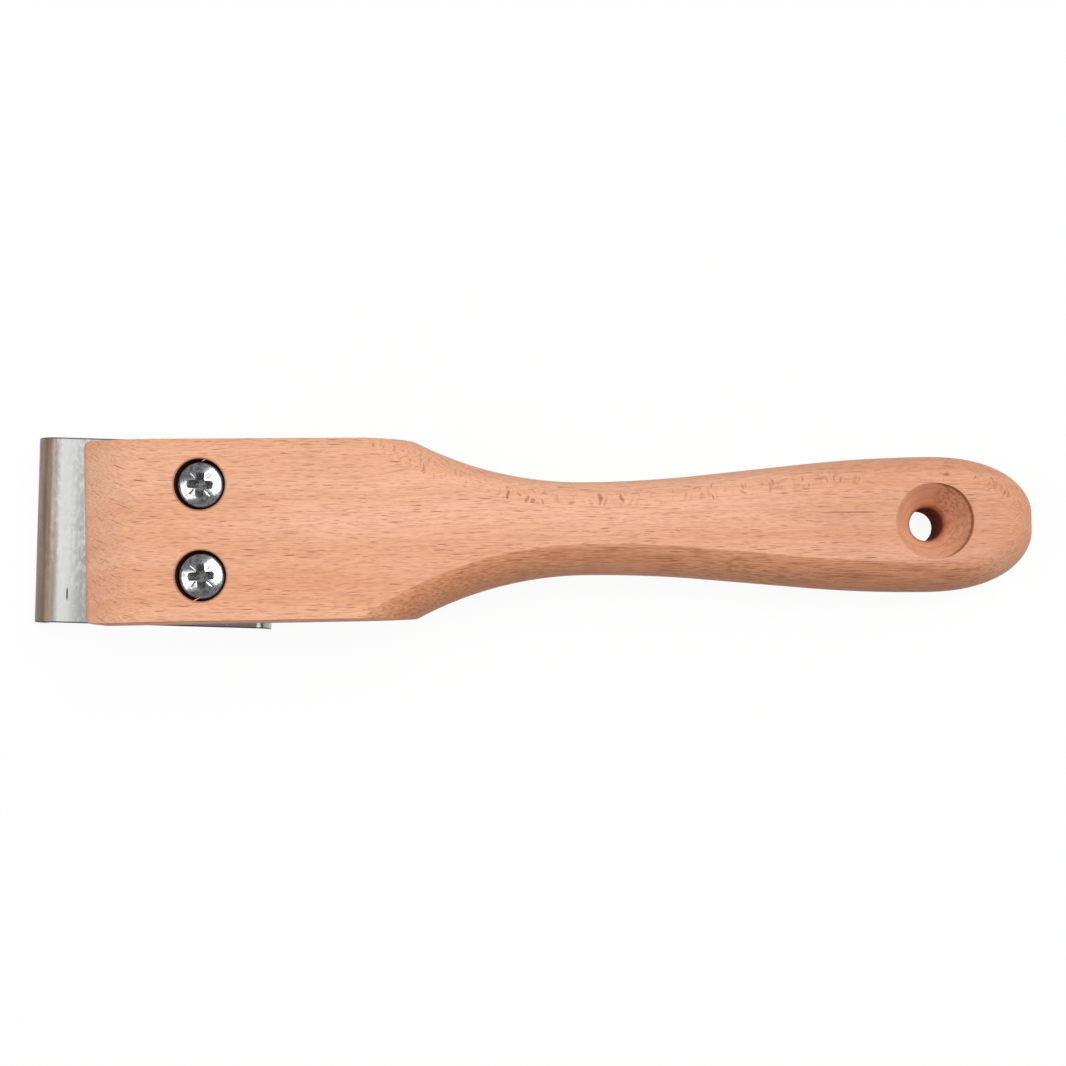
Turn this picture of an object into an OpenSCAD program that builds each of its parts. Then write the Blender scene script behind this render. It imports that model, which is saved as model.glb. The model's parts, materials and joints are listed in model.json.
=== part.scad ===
// Pull scraper for cabinet work: a beech handle with a hooked steel blade under its head.
// Origin: axis of the hang hole, on the underside of the handle. +X to the tail, +Z up.

/* [Handle] */
// Length of the wood from its front end to the axis of the hang hole
handle_reach = 220; // [200:1:240]
// Thickness of the wood
handle_t = 22; // [19:0.5:26]
// Width of the head at its front end
head_front_w = 47.5; // [45:0.1:52]
// Width of the head at its shoulders, where the neck begins
head_rear_w = 46.5; // [43:0.1:50]
// Length of the head from its front end to its shoulders
head_len = 86; // [75:0.1:95]
// Width of the grip at its narrowest
neck_w = 24.4; // [22:0.1:30]
// Distance from the narrowest place of the grip to the hang hole
neck_to_hole = 89.3; // [80:0.1:100]
// Width of the tail at its widest
tail_w = 35.5; // [33:0.1:40]
// Length of the straight stretch between the hollow and the full bend of the swell to the tail
swell_straight = 27; // [0:1:40]
// Share of the swell's bends that is hollow
swell_hollow_share = 0.49; // [0.4:0.01:0.7]
// Distance from the widest place of the tail to the hang hole
tail_to_hole = 0.5; // [0:0.1:8]
// Length of the tail from its widest place to its tip
tail_len = 28.1; // [24:0.1:36]
// Width of the small flat at the tip of the tail
tail_flat_w = 7; // [6:0.1:12]
// Fullness of the curve round the tail, where 2 is an ellipse
tail_fullness = 2.3; // [2:0.1:3]
// Reach of the side rounding onto the top and bottom faces of the grip
grip_inset = 7.4; // [5:0.1:9]
// Radius of the head's front corners, seen from above
front_corner_r = 2; // [1:0.5:4]
// Length of the slope at the front of the top face
slope_len = 19.5; // [14:0.5:24]
// Drop of the slope at the front end
slope_drop = 5; // [3:0.1:7]
// Radius of the nose between the slope and the front end
nose_r = 2.5; // [1:0.5:4]

/* [Hang hole] */
// Diameter of the hang hole
hang_hole_d = 8.7; // [6:0.1:11]
// Diameter of the dish round the hang hole, at the top face
dish_d = 20; // [16:0.5:23]
// Angle of the dish, wall to wall
dish_angle = 60; // [55:1:90]

/* [Screws] */
// Diameter of the screws
screw_d = 6; // [5:0.5:6]
// Length of the screws under the head
screw_len = 25; // [24:0.5:26]
// Diameter of the screw heads
screw_head_d = 11.6; // [10:0.1:12.4]
// Height of the screw heads
screw_head_h = 4.6; // [3.6:0.1:4.9]
// Height of the straight side of a screw head, below its dome
screw_side_h = 3.4; // [2:0.1:3.4]
// Width across the cross recess of a screw head
recess_span = 6.8; // [5:0.1:7.4]
// Width of one slot of the cross recess
recess_slot_w = 1.9; // [1.2:0.1:2.2]
// Depth of the cross recess
recess_depth = 3; // [2:0.1:3.4]
// Distance between the two screws
screw_spacing = 23.6; // [20:0.1:28]
// Distance from the front end of the wood to the screws
screw_setback = 31; // [28:0.5:36]
// Diameter of the counterbores that the screw heads sit in
counterbore_d = 13.2; // [12.6:0.1:15]
// Depth of the counterbores
counterbore_depth = 5; // [4.9:0.1:6]
// Room all round a screw in the wood and in its washer
screw_room = 0.2; // [0.1:0.05:0.5]

/* [Nuts and washers] */
// Width of the nuts across their flats
nut_flats = 10; // [9:0.1:11]
// Height of the nuts
nut_h = 5; // [4:0.1:6]
// Running room all round a screw in its nut
nut_room = 0.05; // [0.02:0.01:0.1]
// Diameter of the washers
washer_d = 12; // [11:0.1:13]
// Thickness of the washers
washer_t = 1.2; // [0.8:0.1:1.8]

/* [Blade] */
// Width of the blade
blade_w = 50; // [46:0.5:60]
// Thickness of the blade's sheet
sheet_t = 1.5; // [1:0.1:2]
// Distance from the screws to the front face of the lip
lip_reach = 49.4; // [46:0.1:56]
// Distance from the screws to the rear face of the heel
heel_reach = 15; // [13:0.1:20]
// Outer radius of the bend above the lip
lip_bend_r = 6; // [4:0.1:8]
// Outer radius of the bend above the heel
heel_bend_r = 3.5; // [2.5:0.1:4]
// Drop from the underside of the handle to the cutting edge
lip_drop = 14; // [13:0.5:18]
// Drop from the underside of the handle to the bottom of the heel
heel_drop = 7; // [5:0.5:9]
// Height of the bevel ground on the front face of the lip
bevel_h = 2.6; // [1.5:0.1:3.5]
// Thickness left at the cutting edge
edge_t = 0.1; // [0.05:0.05:0.2]
// Room all round a screw in the blade, which lets the blade be squared up
blade_room = 1; // [0.95:0.05:1.2]
// Turn of the blade off square, as it is clamped
blade_skew = 2.4; // [0:0.1:2.6]
// Shift of the blade to the right, as it is clamped
blade_shift = 0.6; // [0:0.1:0.6]

/* [Hidden] */

wood_colour = [0.91, 0.69, 0.55];
blade_colour = [0.80, 0.81, 0.80];
zinc_colour = [0.72, 0.74, 0.77];

// Fineness of round faces, and of the steps along each curve of the outline
$fn = 64;
level_steps = 12;
corner_steps = 4;
neck_steps = 14;
swell_steps = 6;
tail_steps = 18;

// How far a cut runs past the face that it starts from
overrun = 1;

// Which side of the handle a fastener is on, seen with the tail towards the user
right = 1;
left = -1;

// Places along the handle
front_x = -handle_reach;
shoulder_x = front_x + head_len;
neck_x = -neck_to_hole;
tail_x = -tail_to_hole;
screw_x = front_x + screw_setback;

// Half sizes of the outline
front_half = head_front_w / 2;
shoulder_half = head_rear_w / 2;
neck_half = neck_w / 2;
tail_half = tail_w / 2;
mid_z = handle_t / 2;

// Taper of the head's sides, as run across over run along
head_taper = (front_half - shoulder_half) / (head_len - front_corner_r);

// Neck: one hollow arc, level with the axis at the narrowest place and ending at the shoulder
neck_dx = neck_x - shoulder_x;
neck_dy = shoulder_half - neck_half;
neck_r = (neck_dx * neck_dx + neck_dy * neck_dy) / (2 * neck_dy);
neck_centre_y = neck_half + neck_r;

// Swell from the neck to the tail: a hollow arc, a straight stretch and a full arc
swell_dx = tail_x - neck_x;
swell_turn = 2 * atan2(tail_half - neck_half, swell_dx + swell_straight);
swell_bends_r = (swell_dx - swell_straight * cos(swell_turn)) / sin(swell_turn);
hollow_r = swell_bends_r * swell_hollow_share;
full_r = swell_bends_r - hollow_r;

// Tail: a full oval that stops at the small flat of the tip
oval_power = 2 / tail_fullness;
oval_end = acos(pow(tail_flat_w / tail_w, 1 / oval_power));
oval_len = tail_len / pow(sin(oval_end), oval_power);

// Side rounding of the grip: an arc over the whole thickness
round_r = (grip_inset * grip_inset + mid_z * mid_z) / (2 * grip_inset);
round_turn = asin(mid_z / round_r);

// Slope at the front: an arc that leaves the top face level
slope_r = (slope_len * slope_len + slope_drop * slope_drop) / (2 * slope_drop);
slope_x = front_x + slope_len;
slope_centre_z = handle_t - slope_r;
nose_x = front_x + nose_r;
nose_run = slope_x - nose_x;
nose_reach = slope_r - nose_r;
nose_z = slope_centre_z + sqrt(nose_reach * nose_reach - nose_run * nose_run);
nose_share = slope_r / nose_reach;
nose_end_x = slope_x - nose_run * nose_share;

// Hang hole
hang_hole_r = hang_hole_d / 2;
dish_r = dish_d / 2;
dish_depth = (dish_r - hang_hole_r) / tan(dish_angle / 2);

// Fasteners, from the counterbore's seat down to the nut
screw_r = screw_d / 2;
screw_head_r = screw_head_d / 2;
screw_hole_r = screw_r + screw_room;
seat_z = handle_t - counterbore_depth;
dome_h = screw_head_h - screw_side_h;
dome_r = (screw_head_r * screw_head_r + dome_h * dome_h) / (2 * dome_h);
recess_bottom_z = screw_head_h - recess_depth;
recess_taper_share = 0.45;
tip_share = 0.25;
tip_chamfer = screw_r * tip_share;
washer_top_z = -sheet_t;
nut_top_z = washer_top_z - washer_t;
nut_corner_r = nut_flats / 2 / cos(180 / 6);
nut_chamfer_h = (nut_corner_r - nut_flats / 2) * tan(30);

// How far ahead of the shoulder the side rounding runs out, at a given inset
function runout(inset) =
    let (along = neck_dx - head_taper * (neck_centre_y - shoulder_half),
         stretch = 1 + head_taper * head_taper,
         gain = inset * (2 * neck_r + inset))
    (sqrt(along * along + stretch * gain) - along) / stretch;

// Front corner of the head
function corner_points() =
    [for (k = [0 : corner_steps])
        let (a = 180 - 90 * k / corner_steps)
        [front_x + front_corner_r + front_corner_r * cos(a),
         front_half - front_corner_r + front_corner_r * sin(a)]];

// Neck arc, from the end of the head's straight side to the narrowest place
function neck_points(inset) =
    let (r = neck_r + inset,
         turn = asin((neck_dx + runout(inset)) / r))
    [for (k = [0 : neck_steps])
        let (a = turn * (1 - k / neck_steps))
        [neck_x - r * sin(a), neck_centre_y - r * cos(a)]];

// Swell, first its hollow arc and then its full one
function swell_points(inset) =
    concat(
        [for (k = [1 : swell_steps])
            let (a = swell_turn * k / swell_steps, r = hollow_r + inset)
            [neck_x + r * sin(a), neck_half + hollow_r - r * cos(a)]],
        [for (k = [0 : swell_steps])
            let (a = swell_turn * (1 - k / swell_steps), r = full_r - inset)
            [tail_x - r * sin(a), tail_half - full_r + r * cos(a)]]);

// Direction square to the tail's oval at a given turn
function oval_normal(a) =
    let (n = [pow(sin(a), 2 - oval_power) / oval_len, pow(cos(a), 2 - oval_power) / tail_half])
    n / norm(n);

// Tail's oval, whose last point is mitred with the flat of the tip
function tail_points(inset) =
    [for (k = [1 : tail_steps])
        let (a = oval_end * k / tail_steps,
             n = oval_normal(a),
             shift = k < tail_steps ? n : (n + [1, 0]) / (1 + n[0]))
        [tail_x + oval_len * pow(sin(a), oval_power), tail_half * pow(cos(a), oval_power)] - inset * shift];

// One side of the outline, from the front end to the tip
function half_outline(inset) =
    concat(corner_points(), neck_points(inset), swell_points(inset), tail_points(inset));

// Whole outline at one level, drawn in by the rounding there
function outline(inset) =
    let (side = half_outline(inset), last = len(side) - 1)
    concat([for (p = side) [p[0], -p[1]]], [for (k = [last : -1 : 0]) side[k]]);

// Solid through a stack of outlines, each with its second half the mirror of its first.
// The end faces are strips that join the two halves.
module loft(levels) {
    n = len(levels[0]);
    last = n - 1;
    top = len(levels) - 1;
    sides = [for (j = [0 : top - 1], i = [0 : last])
        let (low = j * n, high = low + n, next = (i + 1) % n)
        each [[low + i, high + i, high + next], [low + i, high + next, low + next]]];
    strips = [for (i = [0 : n / 2 - 2])
        each [[i, i + 1, last - i - 1], [i, last - i - 1, last - i]]];
    lid = [for (t = strips) [top * n + t[2], top * n + t[1], top * n + t[0]]];
    polyhedron(points = [for (level = levels) each level], faces = concat(sides, strips, lid));
}

// Handle before it is cut, rounded along the grip and square along the head
module handle_blank() {
    loft([for (j = [0 : level_steps])
        let (a = round_turn * (2 * j / level_steps - 1),
             inset = round_r * (1 - cos(a)),
             z = mid_z + round_r * sin(a))
        [for (p = outline(inset)) [p[0], p[1], z]]]);
}

// Block across the head, from one place to another along it, that reaches above the top face
module head_block(from_x, to_x, bottom_z) {
    width = head_front_w + 2 * overrun;
    translate([from_x, -width / 2, bottom_z])
        cube([to_x - from_x, width, handle_t + overrun - bottom_z]);
}

// Bar across the head, round in section
module head_bar(x, z, r) {
    width = head_front_w + 4 * overrun;
    translate([x, 0, z])
        rotate([90, 0, 0])
            cylinder(r = r, h = width, center = true);
}

// Wood above the slope at the front, and in front of its nose
module front_waste() {
    difference() {
        head_block(front_x - overrun, slope_x, nose_z);
        head_bar(slope_x, slope_centre_z, slope_r);
    }
    difference() {
        head_block(front_x - overrun, nose_end_x, nose_z);
        head_bar(nose_x, nose_z, nose_r);
    }
}

// Hole for one screw, with its counterbore
module screw_hole(side) {
    translate([screw_x, side * screw_spacing / 2, 0]) {
        translate([0, 0, -overrun])
            cylinder(r = screw_hole_r, h = handle_t + overrun);
        translate([0, 0, seat_z])
            cylinder(d = counterbore_d, h = counterbore_depth + overrun);
    }
}

// Hang hole with its dish
module hang_hole() {
    dish_run = overrun * tan(dish_angle / 2);
    translate([0, 0, -overrun])
        cylinder(r = hang_hole_r, h = handle_t + overrun);
    translate([0, 0, handle_t - dish_depth])
        cylinder(r1 = hang_hole_r, r2 = dish_r + dish_run, h = dish_depth + overrun);
}

module handle() {
    color(wood_colour)
        difference() {
            handle_blank();
            front_waste();
            screw_hole(right);
            screw_hole(left);
            hang_hole();
        }
}

// Quarter of a bend in the sheet, its centre at the origin, from straight up round to -X
module bend(r) {
    difference() {
        intersection() {
            circle(r = r);
            translate([-r, 0])
                square(r);
        }
        circle(r = r - sheet_t);
    }
}

// Section along the blade, with the screws at its zero and the top of its plate at height zero
module blade_section() {
    lip_x = -lip_reach;
    plate_from = lip_x + lip_bend_r;
    plate_to = heel_reach - heel_bend_r;
    translate([plate_from, -sheet_t])
        square([plate_to - plate_from, sheet_t]);
    translate([plate_from, -lip_bend_r])
        bend(lip_bend_r);
    translate([plate_to, -heel_bend_r])
        mirror([1, 0])
            bend(heel_bend_r);
    translate([heel_reach - sheet_t, -heel_drop])
        square([sheet_t, heel_drop - heel_bend_r]);
    polygon([
        [lip_x, -lip_bend_r],
        [lip_x, bevel_h - lip_drop],
        [lip_x + sheet_t - edge_t, -lip_drop],
        [lip_x + sheet_t, -lip_drop],
        [lip_x + sheet_t, -lip_bend_r]]);
}

module blade() {
    color(blade_colour)
        translate([screw_x, blade_shift, 0])
            rotate([0, 0, -blade_skew])
                difference() {
                    rotate([90, 0, 0])
                        linear_extrude(blade_w, center = true)
                            blade_section();
                    for (side = [right, left])
                        translate([0, side * screw_spacing / 2, -sheet_t - overrun])
                            cylinder(r = screw_r + blade_room, h = sheet_t + 2 * overrun);
                }
}

// Place of one screw, with height zero at the underside of the handle
module at_screw(side) {
    translate([screw_x, side * screw_spacing / 2, 0])
        children();
}

// Cross recess of a screw head, tapered to its bottom
module cross_recess() {
    depth = recess_depth + overrun;
    mouth_r = recess_span / 2;
    floor_r = mouth_r * recess_taper_share;
    mouth_rise = (mouth_r - floor_r) / recess_depth * overrun;
    intersection() {
        for (a = [0, 90])
            rotate([0, 0, a])
                translate([-recess_span, -recess_slot_w / 2, 0])
                    cube([2 * recess_span, recess_slot_w, depth]);
        cylinder(r1 = floor_r, r2 = mouth_r + mouth_rise, h = depth);
    }
}

// Pan-head screw, its head in the counterbore
module screw(side) {
    color(zinc_colour)
        at_screw(side) {
            translate([0, 0, seat_z])
                difference() {
                    intersection() {
                        cylinder(r = screw_head_r, h = screw_head_h);
                        translate([0, 0, screw_head_h - dome_r])
                            sphere(r = dome_r);
                    }
                    translate([0, 0, recess_bottom_z])
                        cross_recess();
                }
            translate([0, 0, seat_z - screw_len + tip_chamfer])
                cylinder(r = screw_r, h = screw_len - tip_chamfer);
            translate([0, 0, seat_z - screw_len])
                cylinder(r1 = screw_r - tip_chamfer, r2 = screw_r, h = tip_chamfer);
        }
}

// Flat washer between the blade and the nut
module washer(side) {
    color(zinc_colour)
        at_screw(side)
            translate([0, 0, washer_top_z - washer_t])
                difference() {
                    cylinder(d = washer_d, h = washer_t);
                    translate([0, 0, -overrun])
                        cylinder(r = screw_hole_r, h = washer_t + 2 * overrun);
                }
}

// Hexagon nut with chamfered corners
module nut(side) {
    flat_r = nut_flats / 2;
    color(zinc_colour)
        at_screw(side)
            translate([0, 0, nut_top_z - nut_h])
                difference() {
                    intersection() {
                        cylinder(r = nut_corner_r, h = nut_h, $fn = 6);
                        union() {
                            cylinder(r1 = flat_r, r2 = nut_corner_r, h = nut_chamfer_h);
                            translate([0, 0, nut_chamfer_h])
                                cylinder(r = nut_corner_r, h = nut_h - 2 * nut_chamfer_h);
                            translate([0, 0, nut_h - nut_chamfer_h])
                                cylinder(r1 = nut_corner_r, r2 = flat_r, h = nut_chamfer_h);
                        }
                    }
                    translate([0, 0, -overrun])
                        cylinder(r = screw_r + nut_room, h = nut_h + 2 * overrun);
                }
}

handle();
blade();
screw(right);  // right_screw
screw(left);  // left_screw
washer(right);  // right_washer
washer(left);  // left_washer
nut(right);  // right_nut
nut(left);  // left_nut
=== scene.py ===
"""Dresses the cabinet scraper: beech handle, hooked blade, screws, washers, nuts and the studio."""

import json
import math

import bpy
from mathutils import Matrix, Vector


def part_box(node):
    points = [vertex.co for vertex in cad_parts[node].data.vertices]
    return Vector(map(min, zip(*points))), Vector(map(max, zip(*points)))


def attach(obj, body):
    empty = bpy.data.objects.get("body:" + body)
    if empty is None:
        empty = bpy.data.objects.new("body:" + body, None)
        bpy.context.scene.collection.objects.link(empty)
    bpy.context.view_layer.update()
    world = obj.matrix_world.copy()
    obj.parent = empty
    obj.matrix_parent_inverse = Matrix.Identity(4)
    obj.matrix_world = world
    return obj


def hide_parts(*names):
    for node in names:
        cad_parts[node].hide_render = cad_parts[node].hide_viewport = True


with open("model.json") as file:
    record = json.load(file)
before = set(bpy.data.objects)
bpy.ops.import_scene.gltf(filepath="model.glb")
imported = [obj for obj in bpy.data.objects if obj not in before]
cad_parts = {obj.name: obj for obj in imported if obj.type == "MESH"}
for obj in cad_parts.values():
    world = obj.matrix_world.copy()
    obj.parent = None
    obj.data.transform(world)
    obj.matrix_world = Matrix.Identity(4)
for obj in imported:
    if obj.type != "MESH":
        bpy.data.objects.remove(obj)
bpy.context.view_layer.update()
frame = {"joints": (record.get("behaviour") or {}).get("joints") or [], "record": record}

bl_info = {
    "name": "Cabinet Scraper",
    "version": (1, 0, 0),
    "blender": (4, 5, 0),
    "location": "View3D > Sidebar > Scraper",
    "description": "Builds a beech-handled pull scraper with its hooked blade and fasteners",
    "category": "Add Mesh",
}

MM = 0.001
SIDES = ("right", "left")
HANDLE_LOW, HANDLE_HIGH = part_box("handle")
SCREW_LOW, SCREW_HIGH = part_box("right_screw")
WASHER_LOW, WASHER_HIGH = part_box("right_washer")
NUT_LOW, NUT_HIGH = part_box("right_nut")
BLADE_LOW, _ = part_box("blade")
HANG_HOLE = frame["record"]["mounts"][0]["dims"]
SCREW_AXES = {
    side: next(Vector(j["pos_m"]) for j in frame["joints"] if j["name"] == side + "_screw_turn")
    for side in SIDES
}
SCREW_X = SCREW_AXES["right"].x
# Turn of each screw's recess off square, in degrees
SCREW_TURNS = {"right": -4, "left": 3}
# Root and tip of the splinter on each counterbore's rim, in millimetres from its screw's axis
RIM_SPLINTERS = {"right": ((2.2, 6.7), (0.8, 5.9)), "left": ((-2.1, -6.6), (0.0, -5.45))}
SPLINTER_ROOT_W, SPLINTER_TIP_W = 0.36 * MM, 0.08 * MM
SPLINTER_T, SPLINTER_SINK = 0.15 * MM, 0.03 * MM
# Middle of the scratch from the lip's front face and from the middle line, and half its size
SCRATCH_IN, SCRATCH_ACROSS = 10 * MM, -17.2 * MM
SCRATCH_HALF = Vector((0.28 * MM, 2.1 * MM, 0.4 * MM))
# Tilt of the wood's rays from level, seen along the handle
RAY_TILT = math.radians(30)
# Angles between faces, in degrees, above which an edge is shaded crisp
SOFT_CREASE, CRISP_CREASE = 24, 30
# Where each soft light comes from, its distance, its width and its depth, in metres
KEY_LIGHT = ((0.33, 0.26, 0.907), 3.0, 2.6, 2.2)
SIDE_LIGHT = ((-0.645, -0.08, 0.76), 2.0, 1.2, 1.4)
# Radius of the flat floor, radius of its sweep and height of its wall, in metres
FLOOR_R, SWEEP_R, WALL_H = 3.5, 0.5, 1.4
CENTRE = Vector((0, 0, 0))


def length(name, description, default):
    """A size in metres that a user can change."""
    return bpy.props.FloatProperty(
        name=name, description=description, default=default, unit="LENGTH", precision=5)


def angle(name, description, degrees):
    """An angle that a user can change."""
    return bpy.props.FloatProperty(
        name=name, description=description, default=math.radians(degrees), subtype="ANGLE")


def number(name, description, default):
    """A plain number that a user can change."""
    return bpy.props.FloatProperty(name=name, description=description, default=default)


def paint(name, description, red, green, blue):
    """A colour that a user can change, given as it shows on a screen, from 0 to 255."""
    def linear(level):
        share = level / 255
        return share / 12.92 if share <= 0.04045 else ((share + 0.055) / 1.055) ** 2.4
    return bpy.props.FloatVectorProperty(
        name=name, description=description, subtype="COLOR", size=4, min=0, max=1,
        default=(linear(red), linear(green), linear(blue), 1))


class HandleSizes(bpy.types.PropertyGroup):
    """Sizes of the beech handle."""

    head_front_w: length("Head front width", "Width of the head at its front", 2 * HANDLE_HIGH.y)
    head_rear_w: length("Head rear width", "Width of the head at its shoulders", 46.5 * MM)
    head_len: length("Head length", "From the front end to the shoulders", 86 * MM)
    neck_w: length("Neck width", "Width of the grip at its narrowest", 24.4 * MM)
    neck_to_hole: length("Neck place", "From the narrowest place to the hang hole", 89.3 * MM)
    swell_straight: length("Swell straight", "Straight stretch between the swell's bends", 27 * MM)
    swell_hollow_share: number("Hollow share", "Share of the swell's bends that is hollow", 0.49)
    tail_w: length("Tail width", "Width of the tail at its widest", 35.5 * MM)
    tail_to_hole: length("Tail place", "From the tail's widest place to the hang hole", 0.5 * MM)
    tail_flat_w: length("Tip flat", "Width of the small flat at the tip", 7 * MM)
    tail_fullness: number("Tail fullness", "Fullness of the tail's curve: 2 is an ellipse", 2.3)
    grip_inset: length("Side rounding", "Reach of the side rounding onto the top face", 7.4 * MM)
    corner_r: length("Front corners", "Radius of the front corners, from above", 2 * MM)
    slope_len: length("Slope length", "Length of the slope at the front", 19.5 * MM)
    slope_drop: length("Slope drop", "Drop of the slope at the front end", 5 * MM)
    nose_r: length("Nose", "Radius between the slope and the front end", 2.5 * MM)
    head_ease: length("Head edges", "Rounding sanded on the head's edges", 0.3 * MM)
    arris_ease: length("Grip edges", "Rounding where the grip's sides meet its faces", 0.25 * MM)
    tail_ease: length("Tail edges", "Rounding where the tail's sides meet its faces", 2.8 * MM)
    shoulder_ease: length("Shoulder edges", "Rounding sanded on the shoulders", 0.5 * MM)
    tip_ease: length("Tip edges", "Rounding where the tail meets the flat of its tip", 0.8 * MM)
    dish_d: length("Dish", "Diameter of the dish round the hang hole", 20 * MM)
    counterbore_d: length("Counterbore", "Diameter of the screw-head recesses", 13.2 * MM)
    counterbore_depth: length("Counterbore depth", "Depth of the screw-head recesses", 5 * MM)
    screw_hole_d: length("Screw hole", "Diameter of the holes for the screws", 6.4 * MM)
    rim_ease: length("Hole rims", "Rounding on the rims of the holes", 0.2 * MM)
    dish_ease: length("Dish edges", "Rounding on the rim and the foot of the dish", 0.3 * MM)


class BladeSizes(bpy.types.PropertyGroup):
    """Sizes of the hooked blade."""

    width: length("Width", "Width of the blade", 50 * MM)
    sheet_t: length("Sheet", "Thickness of the sheet", -WASHER_HIGH.z)
    lip_reach: length("Lip reach", "From the screws to the front face of the lip", 49.4 * MM)
    heel_reach: length("Heel reach", "From the screws to the rear face of the heel", 15 * MM)
    lip_bend_r: length("Lip bend", "Outer radius of the bend above the lip", 6 * MM)
    heel_bend_r: length("Heel bend", "Outer radius of the bend above the heel", 3.5 * MM)
    lip_drop: length("Lip drop", "From the top of the plate to the cutting edge", -BLADE_LOW.z)
    heel_drop: length("Heel drop", "From the top of the plate to the bottom of the heel", 7 * MM)
    bevel_h: length("Bevel", "Height of the bevel ground on the lip", 2.6 * MM)
    edge_t: length("Edge", "Thickness left at the cutting edge", 0.1 * MM)
    edge_ease: length("Sheared edges", "Rounding of the sheared edges", 0.2 * MM)
    hole_d: length("Holes", "Diameter of the screw holes", 8 * MM)
    skew: angle("Skew", "Turn of the blade off square, as it is clamped", 2.4)
    shift: length("Shift", "Shift of the blade to the right, as it is clamped", 0.6 * MM)


class FastenerSizes(bpy.types.PropertyGroup):
    """Sizes of the screws, washers and nuts."""

    screw_d: length("Screw", "Outer diameter of the thread", 6 * MM)
    pitch: length("Pitch", "Rise of the thread in one turn", 1 * MM)
    thread_h: length("Thread depth", "Depth of the thread", 0.55 * MM)
    thread_len: length("Thread length", "Length of the thread from the screw's tip", 16 * MM)
    head_d: length("Head", "Diameter of the screw heads", SCREW_HIGH.x - SCREW_LOW.x)
    head_h: length("Head height", "Height of the screw heads", 4.6 * MM)
    head_side_h: length("Head side", "Height of a head's straight side", 3.4 * MM)
    recess_span: length("Recess", "Width across the cross recess", 6.8 * MM)
    recess_slot_w: length("Recess slot", "Width of one slot of the cross recess", 1.9 * MM)
    recess_depth: length("Recess depth", "Depth of the cross recess", 3 * MM)
    washer_d: length("Washer", "Diameter of the washers", WASHER_HIGH.x - WASHER_LOW.x)
    washer_hole_d: length("Washer hole", "Diameter of the washers' holes", 6.4 * MM)
    nut_flats: length("Nut", "Width of the nuts across their flats", 10 * MM)
    nut_room: length("Nut room", "Running room between a nut and its screw", 0.05 * MM)
    edge_ease: length("Edges", "Rounding of the fasteners' edges", 0.25 * MM)


class FinishColours(bpy.types.PropertyGroup):
    """Colours of the finishes."""

    beech_pale: paint("Beech, pale", "Early wood between the growth rings", 247, 188, 154)
    beech_warm: paint("Beech, warm", "Late wood of the growth rings", 235, 171, 133)
    # Also paints the shade on the dish's north-east and east walls
    beech_ray_and_shade: paint("Beech rays", "Short dark ray flecks along the grain", 166, 106, 76)
    # Colour of the counterbore walls: drill browning, and painted shade in the gap round the screw
    # heads
    beech_burnt_and_shaded: paint("Burnt beech", "Walls of the counterbores, browned by the drill", 70, 31, 18)
    beech_scorched: paint("Scorched beech", "Hang hole's wall, reddened by the drill", 126, 46, 20)
    zinc_bright: paint("Zinc, bright", "Bright zinc plate", 226, 228, 232)
    zinc_dull: paint("Zinc, dull", "Zinc plate where it has dulled", 158, 162, 168)
    zinc_grime: paint("Zinc, grimy", "Old oil in the recesses of the screws", 88, 86, 76)
    sheet_bright: paint("Sheet, bright", "Zinc coat of the blade's sheet", 232, 232, 229)
    # The same colour paints shade towards one long edge of the sheet
    sheet_dull_and_shaded: paint("Sheet, dull", "Mottled places in the coat", 172, 174, 173)
    # A painted brownish reflection on the bend above the lip
    sheet_bend_reflection: paint("Sheet, tarnished", "Brownish coat where the sheet was bent", 128, 101, 78)
    # Raw steel of the sheared edges and of the scratch, and painted shade along the long edges
    sheet_raw_steel_and_shade: paint("Sheet, sheared", "Raw steel of the sheared edges", 92, 94, 95)
    ground_steel: paint("Ground steel", "Bare steel of the ground bevel", 196, 196, 194)


class StageSetup(bpy.types.PropertyGroup):
    """Camera and lights."""

    lens: number("Lens", "Focal length of the camera, in millimetres", 57.14)
    shift_x: number("Shift X", "Sideways shift of the lens, as a share of the picture", 0.0169)
    shift_y: number("Shift Y", "Upward shift of the lens, as a share of the picture", 0.1289)
    camera_x: length("Camera X", "Place of the camera along the handle", -108.43 * MM)
    camera_y: length("Camera Y", "Place of the camera across the handle", -37.07 * MM)
    camera_z: length("Camera Z", "Height of the camera", 456.77 * MM)
    camera_roll: angle("Camera roll", "Roll of the camera, which looks straight down", -0.7)
    key_power: number("Key light", "Power of the main soft light, in watts", 88)
    side_power: number("Side light", "Power of the light in front of the blade, in watts", 12.5)
    room_level: number("Room light", "Strength of the light from all round", 0.055)


def new_object(name, data):
    """A new object in the scene."""
    item = bpy.data.objects.new(name, data)
    bpy.context.scene.collection.objects.link(item)
    return item


def clean_mesh(name, points, faces):
    """A new object with this mesh."""
    mesh = bpy.data.meshes.new(name)
    mesh.from_pydata(points, [], faces)
    mesh.validate()
    return new_object(name, mesh)


def settle(piece):
    """Turn the piece's modifiers into its own mesh."""
    rough = piece.data
    shaped = bpy.data.meshes.new_from_object(
        piece.evaluated_get(bpy.context.evaluated_depsgraph_get()))
    piece.modifiers.clear()
    piece.data = shaped
    shaped.name = piece.name
    bpy.data.meshes.remove(rough)


def carve(piece, tool, operation="DIFFERENCE"):
    """Cut the piece with a tool, join it on or keep what they share, and put the tool away."""
    bpy.context.view_layer.update()
    cut = piece.modifiers.new("carve", "BOOLEAN")
    cut.operation = operation
    cut.solver = "EXACT"
    cut.object = tool
    settle(piece)
    bpy.data.objects.remove(tool)


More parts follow.
